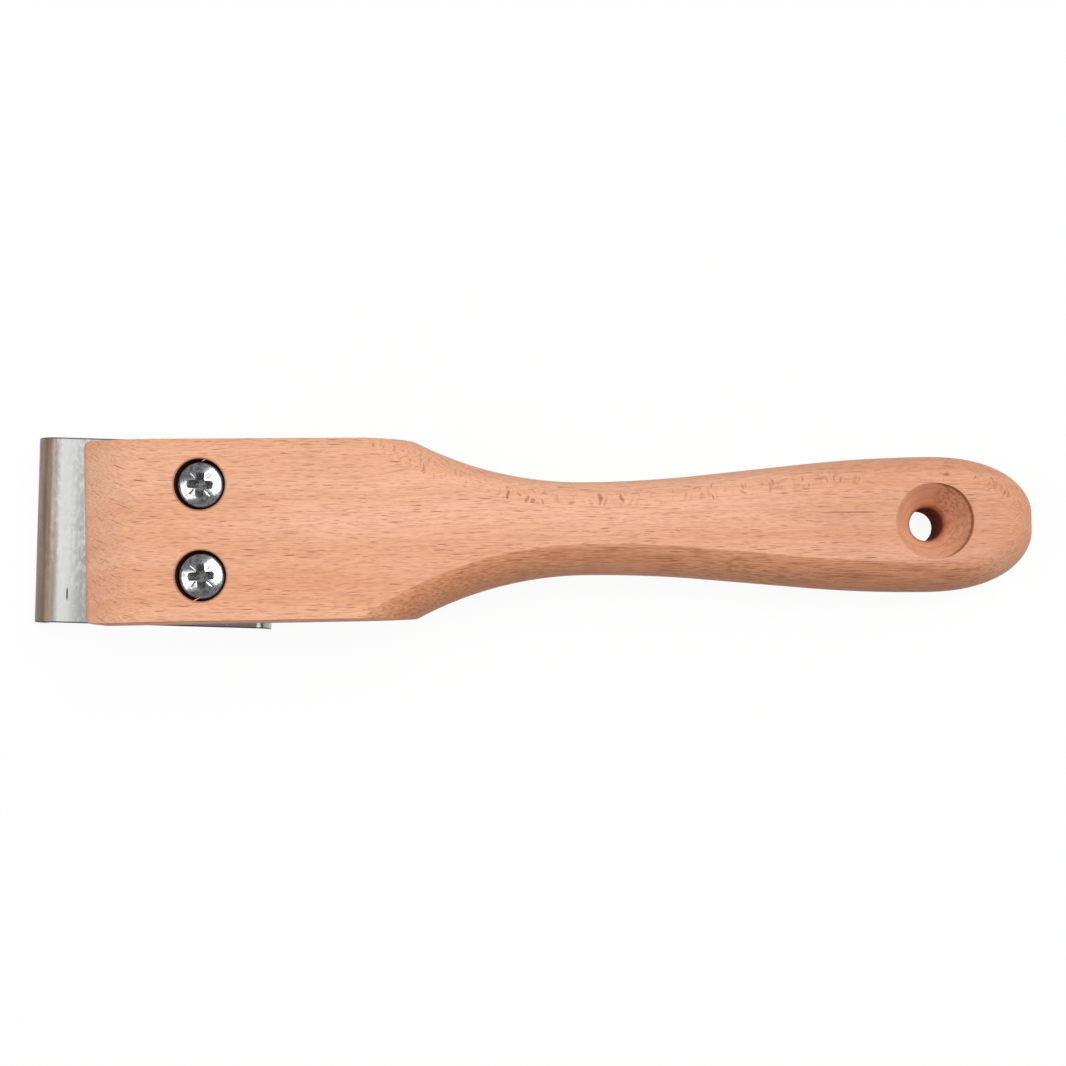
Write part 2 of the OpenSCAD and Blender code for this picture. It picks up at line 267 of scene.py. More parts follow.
def smooth(piece, crease):
    """Shade the piece smooth, with crisp edges where faces meet at more than the crease angle."""
    mesh = piece.data
    mesh.shade_smooth()
    mesh.set_sharp_from_angle(angle=math.radians(crease))
    weigh = piece.modifiers.new("flat faces", "WEIGHTED_NORMAL")
    weigh.keep_sharp = True
    weigh.weight = 100
    settle(piece)


def dress(piece, material, slot, body, *nodes):
    """Give the piece its finish and let it stand for its CAD nodes on their body."""
    piece.data.materials.clear()
    piece.data.materials.append(material)
    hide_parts(*nodes)
    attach(piece, body)


def ring_shell(rings, closed=False):
    """Points and faces of a skin over rings of points, with end lids or closed on itself."""
    sides = len(rings[0])
    points = [p for ring in rings for p in ring]
    faces = []
    for j in range(len(rings) if closed else len(rings) - 1):
        low = j * sides
        high = (j + 1) % len(rings) * sides
        faces += [
            (low + i, low + (i + 1) % sides, high + (i + 1) % sides, high + i)
            for i in range(sides)
        ]
    if not closed:
        faces.append(tuple(reversed(range(sides))))
        faces.append(tuple(range((len(rings) - 1) * sides, len(rings) * sides)))
    return points, faces


def evenly(first, last, steps):
    """Evenly spaced values from the first to the last, with both of them."""
    return [first + (last - first) * k / steps for k in range(steps + 1)]


def turned(name, profile, sides=72, closed=False, lid=True):
    """A turned solid. The profile runs up the outside, and a closed one comes back down the bore.

    A radius may be a number or a function of the turn, for a thread. No lid leaves the top open."""
    turns = evenly(0, 2 * math.pi, sides)[:-1]
    rings = []
    for r, z in profile:
        radii = [r(a) if callable(r) else r for a in turns]
        rings.append([(q * math.cos(a), q * math.sin(a), z) for q, a in zip(radii, turns)])
    points, faces = ring_shell(rings, closed)
    return clean_mesh(name, points, faces if lid else faces[:-1])


def quarter(centre_r, centre_z, radius, start, steps=5):
    """Profile points on a quarter round, from a starting angle in degrees, anticlockwise."""
    turns = [math.radians(a) for a in evenly(start, start + 90, steps)]
    return [(centre_r + radius * math.cos(a), centre_z + radius * math.sin(a)) for a in turns]


def bend_between(first, corner, last, steps):
    """Points on a smooth bend between two points that a corner pulls out, without the first."""
    shares = evenly(0, 1, steps)[1:]
    return [(1 - s) ** 2 * first + 2 * s * (1 - s) * corner + s * s * last for s in shares]


class HandleForm:
    """The curves of the handle, worked out from its sizes."""

    CORNER_STEPS = 10
    SLOPE_STEPS = 14
    SIDE_STEPS = 6
    EASE_STEPS = 4
    NECK_STEPS = 30
    SWELL_STEPS = 10
    STRAIGHT_STEPS = 8
    TAIL_STEPS = 44
    LEVEL_STEPS = 30
    HALVINGS = 40
    SANDED_RUN_SHARE = 1.5

    def __init__(self, size):
        self.size = size
        self.top_z = HANDLE_HIGH.z
        self.front_x = HANDLE_LOW.x
        self.front_half = size.head_front_w / 2
        self.shoulder = Vector((self.front_x + size.head_len, size.head_rear_w / 2))
        self.neck = Vector((-size.neck_to_hole, size.neck_w / 2))
        self.tail = Vector((-size.tail_to_hole, size.tail_w / 2))
        run = size.head_len - size.corner_r
        self.taper = (self.front_half - self.shoulder.y) / run
        reach = self.neck - self.shoulder
        self.neck_r = reach.length_squared / (-2 * reach.y)
        self.neck_centre = self.neck + Vector((0, self.neck_r))
        rise = self.tail - self.neck
        straight = size.swell_straight
        self.swell_turn = 2 * math.atan2(rise.y, rise.x + straight)
        bends_r = (rise.x - straight * math.cos(self.swell_turn)) / math.sin(self.swell_turn)
        self.hollow_r = bends_r * size.swell_hollow_share
        self.full_r = bends_r - self.hollow_r
        self.oval_power = 2 / size.tail_fullness
        self.oval_end = math.acos((size.tail_flat_w / size.tail_w) ** (1 / self.oval_power))
        tail_len = HANDLE_HIGH.x - self.tail.x
        self.oval_len = tail_len / math.sin(self.oval_end) ** self.oval_power
        mid = self.top_z / 2
        self.round_r = (size.grip_inset ** 2 + mid ** 2) / (2 * size.grip_inset)
        self.round_turn = math.asin(mid / self.round_r)
        self.slope_x = self.front_x + size.slope_len
        self.slope_r = (size.slope_len ** 2 + size.slope_drop ** 2) / (2 * size.slope_drop)
        self.slope_z = self.top_z - self.slope_r
        self.nose_x = self.front_x + size.nose_r
        nose_reach = self.slope_r - size.nose_r
        nose_run = self.slope_x - self.nose_x
        self.nose_z = self.slope_z + math.sqrt(nose_reach ** 2 - nose_run ** 2)
        self.nose_end_x = self.slope_x - nose_run * self.slope_r / nose_reach

    def top_height(self, x):
        """Height of the top face at a place along the handle, lower on the front slope."""
        if x >= self.slope_x:
            return self.top_z
        if x >= self.nose_end_x:
            return self.slope_z + math.sqrt(self.slope_r ** 2 - (self.slope_x - x) ** 2)
        return self.nose_z + math.sqrt(max(self.size.nose_r ** 2 - (self.nose_x - x) ** 2, 0))

    def head_side(self, x, ease):
        """Point on the head's straight side, drawn in by the rounding of its edge."""
        return Vector((x, self.shoulder.y + self.taper * (self.shoulder.x - x) - ease))

    def shoulder_corner(self, inset, ease):
        """Where the neck's arc, drawn in by the side rounding, meets the head's side."""
        along = self.neck.x - self.shoulder.x
        across = self.neck_centre.y - self.shoulder.y + ease
        stretch = 1 + self.taper ** 2
        lead = along - self.taper * across
        rest = along ** 2 + across ** 2 - (self.neck_r + inset) ** 2
        ahead = (math.sqrt(lead ** 2 - stretch * rest) - lead) / stretch
        return self.head_side(self.shoulder.x - ahead, ease)

    def corner_points(self, ease):
        """Front corner of the head."""
        r = self.size.corner_r
        return [
            Vector((self.front_x + r + r * math.cos(a),
                    self.front_half - r + (r - ease) * math.sin(a)))
            for a in evenly(math.pi, math.pi / 2, self.CORNER_STEPS)
        ]

    def head_points(self, inset, ease):
        """Side of the head from behind its corner, round the shoulder, to the neck."""
        corner = self.shoulder_corner(inset, ease)
        last = self.head_side(corner.x - self.size.shoulder_ease, ease)
        places = evenly(self.front_x + self.size.corner_r, self.slope_x, self.SLOPE_STEPS)[1:]
        places += evenly(self.slope_x, last.x, self.SIDE_STEPS)[1:]
        r = self.neck_r + inset
        turn = math.asin((self.neck.x - corner.x) / r) - self.size.shoulder_ease / r
        arc = [
            self.neck_centre - r * Vector((math.sin(a), math.cos(a)))
            for a in evenly(turn, 0, self.NECK_STEPS)
        ]
        side = [self.head_side(x, ease) for x in places]
        return side + bend_between(last, corner, arc[0], self.EASE_STEPS) + arc[1:]

    def swell_points(self, inset):
        """Swell from the neck to the tail: a hollow arc, a straight stretch and a full arc."""
        turns = evenly(0, self.swell_turn, self.SWELL_STEPS)
        r = self.hollow_r + inset
        hollow = [
            self.neck + Vector((r * math.sin(a), self.hollow_r - r * math.cos(a)))
            for a in turns[1:]
        ]
        r = self.full_r - inset
        full = [
            self.tail + Vector((-r * math.sin(a), r * math.cos(a) - self.full_r))
            for a in reversed(turns)
        ]
        shares = evenly(0, 1, self.STRAIGHT_STEPS)[1:-1]
        return hollow + [hollow[-1].lerp(full[0], share) for share in shares] + full

    def oval_point(self, a, inset):
        """Point on the tail's oval, drawn in by the side rounding."""
        power = self.oval_power
        square = Vector((math.sin(a) ** (2 - power) / self.oval_len,
                         math.cos(a) ** (2 - power) / self.tail.y)).normalized()
        point = Vector((self.tail.x + self.oval_len * math.sin(a) ** power,
                        self.tail.y * math.cos(a) ** power))
        return point - inset * square

    def tip_turn(self, inset):
        """Turn on the drawn-in oval at which the flat of the tip cuts it off."""
        low, high = 0.0, self.oval_end
        for _ in range(self.HALVINGS):
            middle = (low + high) / 2
            if self.oval_point(middle, inset).x < HANDLE_HIGH.x - inset:
                low = middle
            else:
                high = middle
        return low

    def tail_points(self, inset):
        """Tail's oval, eased into the small flat at the tip."""
        end = self.tip_turn(inset)
        points = [self.oval_point(a, inset) for a in evenly(0, end, self.TAIL_STEPS)[1:-1]]
        tip = self.oval_point(end, inset)
        on_flat = tip - Vector((0, self.size.tip_ease))
        return points + bend_between(points[-1], tip, on_flat, self.EASE_STEPS)

    def half_outline(self, inset, ease):
        """One side of the outline, from the front end to the tip."""
        return (self.corner_points(ease) + self.head_points(inset, ease)
                + self.swell_points(inset) + self.tail_points(inset))

    def side_levels(self, ease):
        """Heights up the handle, each with the grip's inset there, for edges sanded so far."""
        mid = self.top_z / 2
        turn = self.round_turn - ease / self.round_r
        levels = [
            Vector((self.round_r * (1 - math.cos(a)), mid + self.round_r * math.sin(a)))
            for a in evenly(-turn, turn, self.LEVEL_STEPS)
        ]
        arris = Vector((self.size.grip_inset, self.top_z))
        flat = arris + Vector((ease, 0))
        levels += bend_between(levels[-1], arris, flat, self.EASE_STEPS)
        under = [Vector((p.x, self.top_z - p.y)) for p in levels[-self.EASE_STEPS:]]
        return list(reversed(under)) + levels

    def edge_inset(self, z):
        """How far the head's side is drawn in at a height by the rounding of its edges."""
        ease = self.size.head_ease
        over = max(abs(z - self.top_z / 2) - (self.top_z / 2 - ease), 0)
        return ease - math.sqrt(max(ease ** 2 - over ** 2, 0))

    def sanded_share(self, x):
        """How far the edges have gone from the grip's rounding to the tail's at a place along."""
        start = self.tail.x - self.tail.y
        share = min(max((x - start) / (self.SANDED_RUN_SHARE * self.tail.y), 0), 1)
        return share * share * (3 - 2 * share)

    def level_outline(self, inset, z):
        """One side of the outline at a height."""
        outline = self.half_outline(inset, self.edge_inset(z))
        return [Vector((x, y, z * self.top_height(x) / self.top_z)) for x, y in outline]

    def blank(self):
        """Points and faces of the handle before its holes are drilled."""
        rings = []
        grip_levels = self.side_levels(self.size.arris_ease)
        tail_levels = self.side_levels(self.size.tail_ease)
        for grip_level, tail_level in zip(grip_levels, tail_levels):
            pairs = zip(self.level_outline(*grip_level), self.level_outline(*tail_level))
            side = [crisp.lerp(soft, self.sanded_share(crisp.x)) for crisp, soft in pairs]
            rings.append([(x, -y, z) for x, y, z in side] + [tuple(p) for p in reversed(side)])
        points, faces = ring_shell(rings)
        around = len(rings[0])
        top = len(points) - around
        strips = [(i, i + 1, around - 2 - i, around - 1 - i) for i in range(around // 2 - 1)]
        under = [tuple(reversed(strip)) for strip in strips]
        over = [tuple(top + i for i in strip) for strip in strips]
        return points, faces[:-2] + under + over


def screw_hole_tool(size, side):
    """Tool that cuts one counterbored screw hole, with eased rims."""
    rim = size.rim_ease
    wide = size.counterbore_d / 2
    narrow = size.screw_hole_d / 2
    top = HANDLE_HIGH.z
    seat = top - size.counterbore_depth
    profile = [(narrow, -rim), (narrow, seat), (wide, seat)]
    profile += [(wide + rim - r, z) for r, z in quarter(0, top - rim, rim, 0)]
    profile.append((wide + rim, top + rim))
    tool = turned("screw hole tool", profile, sides=96)
    tool.location = SCREW_AXES[side]
    return tool


def rim_splinter(side):
    """Sliver of wood that the cutter left standing on the rim of a counterbore."""
    root, tip = [SCREW_AXES[side].to_2d() + Vector(place) * MM for place in RIM_SPLINTERS[side]]
    across = (tip - root).normalized().orthogonal()
    base, point = SPLINTER_ROOT_W / 2 * across, SPLINTER_TIP_W / 2 * across
    corners = (root - base, tip - point, tip + point, root + base)
    high = HANDLE_HIGH.z - SPLINTER_SINK
    rings = [[(x, y, z) for x, y in corners] for z in (high - SPLINTER_T, high)]
    return clean_mesh("splinter", *ring_shell(rings))


def hang_hole_tool(size):
    """Tool that cuts the hang hole and its dish, with eased rims."""
    steps = 6
    rim, soft = size.rim_ease, size.dish_ease
    bore = HANG_HOLE["r_mm"] * MM
    dish = Vector((size.dish_d / 2, HANDLE_HIGH.z))
    foot = Vector((bore, HANG_HOLE["length_mm"] * MM))
    wall = (dish - foot).normalized()
    low, high = foot - Vector((0, soft)), dish - soft * wall
    profile = [Vector((bore + 2 * rim, -rim)), Vector((bore, rim))]
    profile += [low] + bend_between(low, foot, foot + soft * wall, steps)
    profile += [high] + bend_between(high, dish, dish + Vector((soft, 0)), steps)
    # The rim goes past the top face, so that none of the tool's rings lies in it
    profile[-1] += profile[-1] - profile[-2]
    profile.append(profile[-1] + Vector((0, rim)))
    return turned("hang hole tool", [tuple(p) for p in profile], sides=128)


def blade_section(size, thin):
    """Outline of the sheet along the blade, anticlockwise, with each face drawn in by thin."""
    bend_steps = 20
    t = size.sheet_t
    lip = -size.lip_reach
    heel = size.heel_reach
    outer, inner = size.lip_bend_r - thin, size.lip_bend_r - t + thin
    heel_outer, heel_inner = size.heel_bend_r - thin, size.heel_bend_r - t + thin
    lip_centre = Vector((lip + size.lip_bend_r, -size.lip_bend_r))
    heel_centre = Vector((heel - size.heel_bend_r, -size.heel_bend_r))

    def bend(centre, r, start, end):
        turns = [math.radians(a) for a in evenly(start, end, bend_steps)]
        return [centre + r * Vector((math.cos(a), math.sin(a))) for a in turns]

    rear = lip + t - thin
    edge_front = min(lip + t - size.edge_t, rear - size.edge_t / 4)
    return (
        bend(heel_centre, heel_outer, 0, 90)
        + bend(lip_centre, outer, 90, 180)
        + [Vector((lip + thin, size.bevel_h - size.lip_drop)),
           Vector((edge_front, -size.lip_drop)),
           Vector((rear, -size.lip_drop))]
        + bend(lip_centre, inner, 180, 90)
        + bend(heel_centre, heel_inner, 90, 0)
        + [Vector((heel - t + thin, thin - size.heel_drop)),
           Vector((heel - thin, thin - size.heel_drop))]
    )


def blade_shell(size):
    """Points and faces of the blade, with its sheared edges a little rounded."""
    ease = size.edge_ease
    steps = 4
    right_edge = [
        (size.width / 2 - ease + ease * math.cos(a), ease - ease * math.sin(a))
        for a in evenly(0, math.pi / 2, steps)
    ]
    stations = right_edge + [(-y, thin) for y, thin in reversed(right_edge)]
    return ring_shell([
        [(u, y, z) for u, z in blade_section(size, thin)] for y, thin in stations
    ])


def blade_hole_tool(size, side):
    """Tool that punches one screw hole in the blade."""
    r = size.hole_d / 2
    rim = size.edge_ease
    t = size.sheet_t
    tool = turned("blade hole tool", [
        (r + 2 * rim, -t - rim), (r, rim - t), (r, -rim), (r + 2 * rim, rim)])
    tool.location.y = SCREW_AXES[side].y
    return tool


def scratch_place(size):
    """Middle of the short scratch in the top of the plate."""
    return Vector((SCRATCH_IN - size.lip_reach, SCRATCH_ACROSS, 0))


def scratch_tool(size):
    """Spindle that cuts the scratch."""
    half = SCRATCH_HALF
    steps = 12
    profile = [(half.x * max(1 - t * t, 1 / steps ** 2), half.y * t) for t in evenly(-1, 1, steps)]
    tool = turned("scratch tool", profile, sides=24)
    tool.rotation_euler.x = math.pi / 2
    tool.location = scratch_place(size) + Vector((0, 0, half.x / 3))
    return tool


def thread_profile(core_r, thread_h, pitch, low_z, high_z):
    """Profile of a right-hand thread between two heights, fading out at both ends."""
    steps_a_turn = 12
    flank, root = 1.3, 0.1

    def radius(z):
        fade = min(1, (z - low_z) / pitch, (high_z - z) / pitch)

        def at_turn(a):
            share = (z / pitch - a / (2 * math.pi)) % 1
            ridge = min(max(flank * (1 - abs(2 * share - 1)) - root, 0), 1)
            return core_r + thread_h * ridge * fade
        return at_turn

    count = round((high_z - low_z) / pitch * steps_a_turn)
    return [(radius(z), z) for z in evenly(low_z, high_z, count)]


def dome_height(size, r):
    """Height of a screw head's top above its seat, at a distance from its axis."""
    head_r = size.head_d / 2
    dome_h = size.head_h - size.head_side_h
    dome_r = (head_r ** 2 + dome_h ** 2) / (2 * dome_h)
    return size.head_h - dome_r + math.sqrt(dome_r ** 2 - r ** 2)


def screw_body(size):
    """Pan-head screw with its thread, its head's seat at height zero."""
    dome_steps, shoulder_steps = 20, 8
    major = size.screw_d / 2
    core = major - size.thread_h
    head_r = size.head_d / 2
    ease = size.edge_ease
    soft = 2 * ease
    lead = size.thread_h
    tip_z = SCREW_LOW.z - SCREW_HIGH.z + size.head_h
    thread_end = tip_z + size.thread_len
    profile = [(core - lead, tip_z), (core, tip_z + lead)]
    profile += thread_profile(core, size.thread_h, size.pitch, tip_z + lead, thread_end)
    profile += [(major - ease / 2, thread_end + lead), (major - ease / 2, -ease), (major, 0)]
    profile += quarter(head_r - ease, ease, ease, -90)
    radii = evenly(head_r - soft, 0, dome_steps)[:-1]
    dome = [Vector((r, dome_height(size, r))) for r in radii]
    side_top = Vector((head_r, size.head_side_h - soft))
    corner = Vector((head_r, size.head_side_h))
    shoulder = bend_between(side_top, corner, dome[0], shoulder_steps)
    profile += [tuple(point) for point in [side_top] + shoulder + dome[1:]]
    return turned("pan screw", profile, sides=96)


def tapered_bar(top_len, top_w, foot_len, foot_w, low_z, high_z):
    """A tool for the recess: a bar with clipped corners that tapers down to its foot."""
    def outline(long, wide, z):
        a, b = long / 2, wide / 2
        clip = wide / 5
        return [(a, b - clip, z), (a - clip, b, z), (clip - a, b, z), (-a, b - clip, z),
                (-a, clip - b, z), (clip - a, -b, z), (a - clip, -b, z), (a, clip - b, z)]
    rings = [outline(foot_len, foot_w, low_z), outline(top_len, top_w, high_z)]
    return clean_mesh("recess tool", *ring_shell(rings))


def carve_recess(screw, size):
    """Cut the cross recess into a screw head, with its four guide lines between the wings."""
    foot_len_share, foot_w_share, heart_share = 0.4, 0.65, 2.1
    line_start, line_end = 0.3 * size.recess_span, 0.33 * size.head_d
    line_depth = size.edge_ease / 3
    over = size.pitch
    low_z, high_z = size.head_h - size.recess_depth, size.head_h + over
    grow = 1 + over / size.recess_depth
    span, slot = size.recess_span, size.recess_slot_w
    for turn in (0, math.pi / 2):
        wings = tapered_bar(span * grow, slot * grow, span * foot_len_share, slot * foot_w_share,
                            low_z, high_z)
        wings.rotation_euler.z = turn
        carve(screw, wings)
    wide = slot * heart_share
    heart = tapered_bar(wide, wide, slot, slot, low_z - over / 4, high_z)
    heart.rotation_euler.z = math.pi / 4
    carve(screw, heart)
    for quarter_turn in range(4):
        points = []
        for r in (line_start, line_end):
            z = dome_height(size, r) - line_depth
            points += [(r, 0, z), (r, 2 * over, z + over), (r, -2 * over, z + over)]
        line = clean_mesh("guide line tool", points, [
            (0, 2, 1), (3, 4, 5), (0, 1, 4, 3), (1, 2, 5, 4), (2, 0, 3, 5)])
        line.rotation_euler.z = math.pi / 4 + quarter_turn * math.pi / 2
        carve(screw, line)


def washer_ring(size):
    """Punched flat washer, rounder on its upper edges than on its lower ones."""
    low, high = WASHER_LOW.z, WASHER_HIGH.z
    outer, inner = size.washer_d / 2, size.washer_hole_d / 2
    soft, burr = size.edge_ease, size.edge_ease / 4
    profile = [(outer - burr, low), (outer, low + burr)]
    profile += quarter(outer - soft, high - soft, soft, 0)
    profile += quarter(inner + soft, high - soft, soft, 90)
    profile += [(inner, low + burr), (inner + burr, low)]
    return turned("flat washer", profile, closed=True)


def nut_block(size):
    """Hexagon nut, chamfered at both faces and threaded."""
    low, high = NUT_LOW.z, NUT_HIGH.z
    flat_r = size.nut_flats / 2
    face_share = 0.97
    face_r = face_share * flat_r
    corner_r = flat_r / math.cos(math.pi / 6)
    drop = (corner_r - flat_r) * math.tan(math.pi / 6)
    nut = turned("hex nut", [(corner_r, low), (corner_r, high)], sides=6)
    shell = [(face_r, low), (corner_r, low + drop), (corner_r, high - drop), (face_r, high)]
    carve(nut, turned("chamfer tool", shell, sides=96), "INTERSECT")
    bore = size.screw_d / 2 + size.nut_room
    mouth = bore + size.thread_h
    past = size.pitch
    first, last = low + mouth - bore, high - mouth + bore
    profile = [(mouth + past, low - past), (bore, first)]
    profile += thread_profile(bore, size.thread_h / 2, size.pitch, first, last)
    profile += [(bore, last), (mouth + past, high + past)]
    carve(nut, turned("tap tool", profile, sides=48))
    return nut


class Level:
    """A number that varies over a surface, for use in plain sums."""

    def __init__(self, finish, socket):
        self.finish = finish
        self.socket = socket

    def __add__(self, other):
        return self.finish.math("ADD", self, other)

    def __mul__(self, other):
        return self.finish.math("MULTIPLY", self, other)

    def __sub__(self, other):
        return self.finish.math("SUBTRACT", self, other)

    def __rsub__(self, other):
        return self.finish.math("SUBTRACT", other, self)

    def __truediv__(self, other):
        return self.finish.math("DIVIDE", self, other)

    def __pow__(self, other):
        return self.finish.math("POWER", self, other)

    def __abs__(self):
        return self.finish.math("ABSOLUTE", self)

    __radd__ = __add__
    __rmul__ = __mul__

    def held(self):
        """This level, held between 0 and 1."""
        return self.finish.math("ADD", self, 0.0, clamp=True)

    def step(self, low, high):
        """A soft step from 0 where this level is low to 1 where it is high."""
        ends = {"Value": self, "From Min": low, "From Max": high}
        node = self.finish.add("MapRange", ends, interpolation_type="SMOOTHSTEP")
        return Level(self.finish, node.outputs["Result"])


class Finish:
    """A material in the making: adds nodes and joins them up."""

    def __init__(self, name):
        self.material = bpy.data.materials.new(name)
        self.material.use_nodes = True
        self.tree = self.material.node_tree
        self.shader = self.tree.nodes["Principled BSDF"]
        coordinates = self.add("TexCoord").outputs
        self.place = coordinates["Object"]
        self.square = coordinates["Normal"]

    def put(self, socket, value):
        """Join a socket to another, or set its value."""
        if isinstance(value, Level):
            value = value.socket
        if isinstance(value, bpy.types.NodeSocket):
            self.tree.links.new(value, socket)
        else:
            socket.default_value = value

    def add(self, kind, values=(), **settings):
        """A new node with these settings and input values."""
        node = self.tree.nodes.new("ShaderNode" + kind)
        for name, value in settings.items():
            setattr(node, name, value)
        for key, value in dict(values).items():
            self.put(node.inputs[key], value)
        return node

    def shade(self, values):
        """Set the shader's inputs."""
        for name, value in values.items():
            self.put(self.shader.inputs[name], value)

    def math(self, operation, *values, clamp=False):
        """Result of a sum, held between 0 and 1 if it is clamped."""
        node = self.add("Math", enumerate(values), operation=operation, use_clamp=clamp)
        return Level(self, node.outputs[0])

    def most(self, greatest, *others):
        """The greatest of these levels."""
        for other in others:
            greatest = self.math("MAXIMUM", greatest, other)
        return greatest

    def vector(self, operation, *values):
        """Result of a sum on vectors."""
        node = self.add("VectorMath", enumerate(values), operation=operation)
        if operation in ("LENGTH", "DOT_PRODUCT"):
            return Level(self, node.outputs["Value"])
        return node.outputs["Vector"]

    def faces(self, direction):
        """How far the surface faces in a direction."""
        return self.vector("DOT_PRODUCT", self.square, direction)

    def from_axis(self, axis):
        """Distance from an upright axis."""
        away = self.vector("SUBTRACT", self.place, axis)
        return self.vector("LENGTH", self.vector("MULTIPLY", away, (1, 1, 0)))

    def split(self, vector):
        """The three parts of a vector."""
        return [Level(self, part) for part in self.add("SeparateXYZ", {"Vector": vector}).outputs]

    def clouds(self, place, per_metre, detail, roughness=0.5):
        """Outputs of cloudy noise with so many clouds a metre along each axis."""
        spread = self.vector("MULTIPLY", place, per_metre)
        return self.add("TexNoise", {
            "Vector": spread, "Scale": 1.0, "Detail": detail, "Roughness": roughness}).outputs

    def noise(self, per_metre, detail=2.0, roughness=0.5, place=None):
        """Level of cloudy noise, laid out by the piece's own axes unless a place is given."""
        place = self.place if place is None else place
        return Level(self, self.clouds(place, per_metre, detail, roughness)[0])

    def wander(self, place, per_metre, reach, detail):
        """A place that noise moves about, by half the reach either way."""
        colour = self.clouds(place, per_metre, detail)["Color"]
        off = self.vector("SUBTRACT", colour, (0.5, 0.5, 0.5))
        return self.vector("ADD", place, self.vector("MULTIPLY", off, reach))

    def mix(self, share, first, second):
        """A blend of two colours."""
        node = self.add("Mix", data_type="RGBA")
        colours = [s for s in node.inputs if s.type == "RGBA"]
        self.put(node.inputs["Factor"], share)
        self.put(colours[0], first)
        self.put(colours[1], second)
        return next(s for s in node.outputs if s.type == "RGBA")

    def bump(self, height, distance, strength):
        """Small relief on the surface."""
        node = self.add("Bump", {"Height": height, "Distance": distance, "Strength": strength})
        self.put(self.shader.inputs["Normal"], node.outputs["Normal"])


def ray_flecks(finish, grain, cell, share, rare):
    """Ray flecks: flat lenses along the grain, thin across the rays, one in each cell."""
    spread = finish.vector("DIVIDE", grain, cell)
    cells = finish.add("TexVoronoi", {"Vector": spread, "Scale": 1.0}).outputs
    growth, chance, _ = finish.split(cells["Color"])
    away = finish.vector("SUBTRACT", spread, cells["Position"])
    away = finish.vector("LENGTH", finish.vector("DIVIDE", away, share))
    away = away / (growth + 0.5)
    return away.step(1.0, 0.45) * chance ** rare


def silver_figure(finish, grain):
    """Broad flecks on the faces that lie along the rays."""
    bent = finish.wander(grain, (280, 280, 280), (2.2 * MM, 0, 0), detail=0.0)
    flecks = ray_flecks(finish, bent, (2 * MM, 4.4 * MM, 1), (0.2, 0.42, 50), 1.0)
    patchy = finish.noise((70, 20, 20), detail=1.0).step(0.38, 0.56)
    return 0.7 * flecks * patchy


def mineral_streak(finish, drifted):
    """One dark streak along the grain, in the top of the swell."""
    along, across, _ = finish.split(drifted)
    off = abs(across - 2.7 * MM)
    starts = along.step(-32 * MM, -26 * MM)
    ends = along.step(-14 * MM, -18 * MM)
    return 0.7 * starts * ends * off.step(0.35 * MM, 0.05 * MM)


def cutter_marks_and_shade(finish, away, rim_r):
    """Marks in the dish: pits and smears where the grain tore out, painted shade on the north-east
    and east walls that face away from the key light, a painted shadow line just under the rim on
    the east side, and faint rings all round."""
    # Painted shade on the north-east wall, which faces away from the key light, flecked with pits
    # where the grain tore out
    ne_wall_shade = finish.faces((-0.64, -0.77, 0)).step(0.64, 0.84)
    pits = finish.noise((900, 1500, 1500)).step(0.45, 0.62)
    # Painted shade on the east wall, streaked with smears
    east_wall_shade = finish.faces((-0.96, 0.28, 0)).step(0.35, 0.75)
    smears = finish.noise((500, 800, 800), detail=3.0).step(0.42, 0.62)
    outward = finish.add("CombineXYZ", {"X": away}).outputs[0]
    rings = finish.noise((1300, 0, 0), detail=1.0, place=outward).step(0.46, 0.64)
    torn_grain_and_shade = finish.most(ne_wall_shade * (0.2 + 0.5 * pits), east_wall_shade * (0.1 + 0.34 * smears), 0.24 * rings)
    # Painted shadow: a dark line just under the rim on the east side
    rim = away.step(rim_r - 0.7 * MM, rim_r - 0.25 * MM)
    rim = rim * finish.faces((-0.97, -0.12, 0)).step(-0.15, 0.5)
    return (0.95 * rim + torn_grain_and_shade).held()


def drill_burn_and_shade(finish, height, counterbore_r):
    """How dark the wood is painted: dark brown on the counterbore walls, browned by the drill and
    with painted shade in the narrow gap round the screw heads, and faint on their rims.
    """
    top = HANDLE_HIGH.z
    below_top = height.step(top - 0.1 * MM, top - 0.5 * MM)
    burn_and_shade = 0.0
    for axis in SCREW_AXES.values():
        away = finish.from_axis(axis)
        inside = away.step(counterbore_r + 0.4 * MM, counterbore_r)
        off_rim = abs(away - (counterbore_r + 0.15 * MM))
        rim = off_rim.step(0.45 * MM, 0.05 * MM)
        burn_and_shade = finish.most(burn_and_shade, inside * below_top, 0.45 * rim)
    return burn_and_shade


def bore_scorch(finish, away, height):
    """How reddened the wood is in the hang hole, fading out at the foot of its dish."""
    bore_r, bore_top = HANG_HOLE["r_mm"] * MM, HANG_HOLE["length_mm"] * MM
    near = away.step(bore_r + 1.7 * MM, bore_r - 0.2 * MM)
    return near * height.step(bore_top + 4 * MM, bore_top - 1 * MM)


